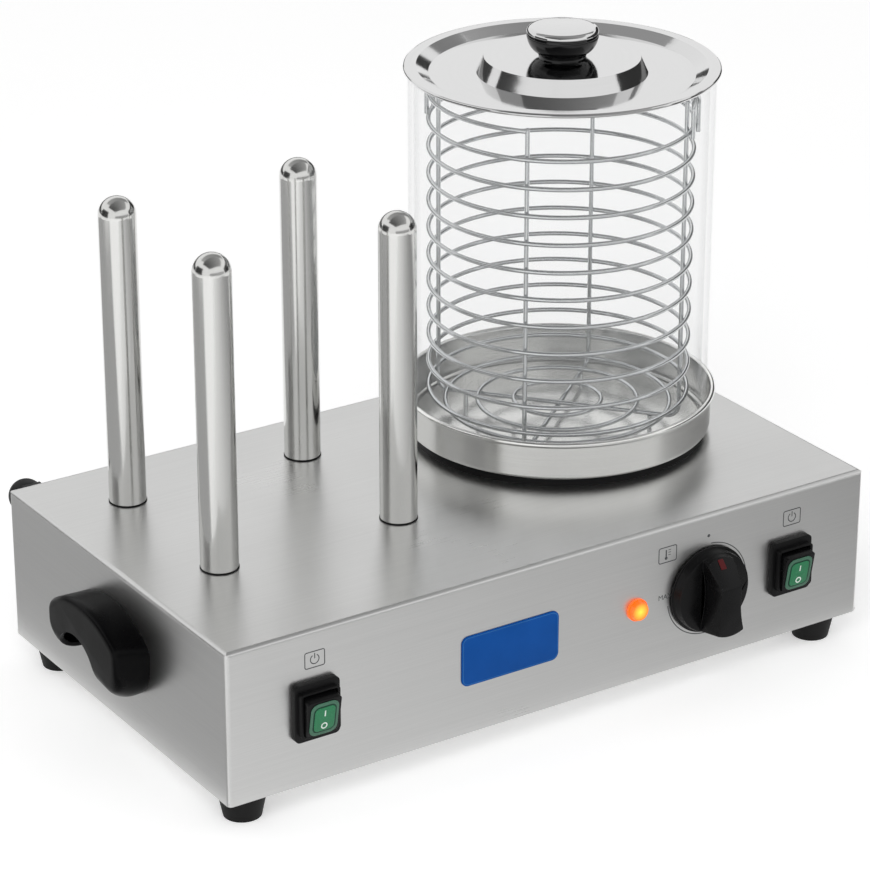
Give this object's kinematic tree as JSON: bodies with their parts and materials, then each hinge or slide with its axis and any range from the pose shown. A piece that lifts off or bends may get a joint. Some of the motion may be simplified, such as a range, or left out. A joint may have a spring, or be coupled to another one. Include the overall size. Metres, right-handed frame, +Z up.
{
  "type": "hot dog toaster",
  "caption": "Counter-top hot dog toaster with heated bun spikes and a glass steaming cylinder with a wire basket and lid on a folded steel housing.",
  "frame": {"origin": "on the table, in the middle of the whole outline", "axes": "+X to the right as seen from the front, -Y out of the front with the controls, +Z up"},
  "size_m": [0.526, 0.3236, 0.3996],
  "materials": {
    "steel": "horizontally brushed stainless steel",
    "spike_steel": "polished stainless steel tube",
    "pan_steel": "spun and polished stainless steel",
    "lid_steel": "pressed and polished stainless steel",
    "basket_wire": "electropolished stainless wire",
    "glass": "clear heat-proof glass",
    "black_plastic": "black phenolic moulding",
    "rubber": "black moulded rubber",
    "seal": "black silicone",
    "rocker_green": "green translucent polycarbonate",
    "marker_red": "red paint filled into the pointer's slot",
    "pilot_amber": "amber translucent lens",
    "zinc": "zinc-plated steel hardware",
    "cast_alloy": "as-cast aluminium",
    "sheath": "heat-darkened heater sheath",
    "brass": "bare brass",
    "copper": "copper bulb and capillary",
    "stat_plastic": "cream thermoset moulding",
    "plate_blue": "bare blue name plate",
    "print_grey": "grey printed signs",
    "print_white": "white printed signs"
  },
  "bodies": {
    "base": {"housing_shell": "steel", "base_plate": "steel", "base_screws": "zinc", "foot_front_left": "rubber", "foot_front_right": "rubber", "foot_rear_left": "rubber", "foot_rear_right": "rubber", "foot_screws": "zinc", "foot_nuts": "zinc", "handle_left": "black_plastic", "handle_right": "black_plastic", "handle_screws": "zinc", "spike_front_left": "spike_steel", "spike_front_right": "spike_steel", "spike_rear_left": "spike_steel", "spike_rear_right": "spike_steel", "spike_seals": "seal", "spike_washers": "zinc", "spike_nuts": "zinc", "spike_heaters": "sheath", "water_pan": "pan_steel", "pan_seal": "seal", "heat_plate": "cast_alloy", "pan_heater": "sheath", "clamp_bar": "zinc", "clamp_nut": "zinc", "limit_thermostat": "stat_plastic", "thermostat_body": "stat_plastic", "thermostat_screws": "zinc", "thermostat_bulb": "copper", "pilot_lens": "pilot_amber", "pilot_body": "black_plastic", "left_switch_frame": "black_plastic", "left_switch_body": "black_plastic", "right_switch_frame": "black_plastic", "right_switch_body": "black_plastic", "switch_terminals": "brass", "terminal_block": "stat_plastic", "earth_stud": "brass", "cable_gland": "black_plastic", "gland_cap": "black_plastic", "gland_seal": "seal", "gland_locknut": "black_plastic"},
    "glass": {"glass_cylinder": "glass"},
    "basket": {"basket_rings": "basket_wire", "basket_uprights": "basket_wire", "basket_floor_rings": "basket_wire", "basket_feet": "basket_wire", "basket_ears": "basket_wire"},
    "lid": {"lid_plate": "lid_steel", "lid_knob": "black_plastic", "lid_knob_cap": "lid_steel", "lid_knob_screw": "zinc"},
    "dial": {"control_knob": "black_plastic", "knob_marker": "marker_red", "thermostat_shaft": "zinc"},
    "left_switch": {"left_rocker": "black_plastic", "left_lens": "rocker_green"},
    "right_switch": {"right_rocker": "black_plastic", "right_lens": "rocker_green"}
  },
  "joints": [
    {"name": "glass_lift", "type": "slide", "parent": "base", "child": "glass", "axis": [0, 0, 1], "range_m": [0, 0.06]},
    {"name": "basket_lift", "type": "slide", "parent": "glass", "child": "basket", "axis": [0, 0, 1], "range_m": [0, 0.25]},
    {"name": "lid_lift", "type": "slide", "parent": "basket", "child": "lid", "axis": [0, 0, 1], "range_m": [0, 0.12]},
    {"name": "dial_turn", "type": "hinge", "parent": "base", "child": "dial", "pos_m": [0.1143, -0.13578, 0.07], "axis": [0, 1, 0], "range_deg": [0, 270]},
    {"name": "left_rocker_tilt", "type": "hinge", "parent": "base", "child": "left_switch", "pos_m": [-0.18, -0.13978, 0.07], "axis": [-1, 0, 0], "range_deg": [0, 20]},
    {"name": "right_rocker_tilt", "type": "hinge", "parent": "base", "child": "right_switch", "pos_m": [0.18, -0.13978, 0.07], "axis": [-1, 0, 0], "range_deg": [0, 20]}
  ]
}
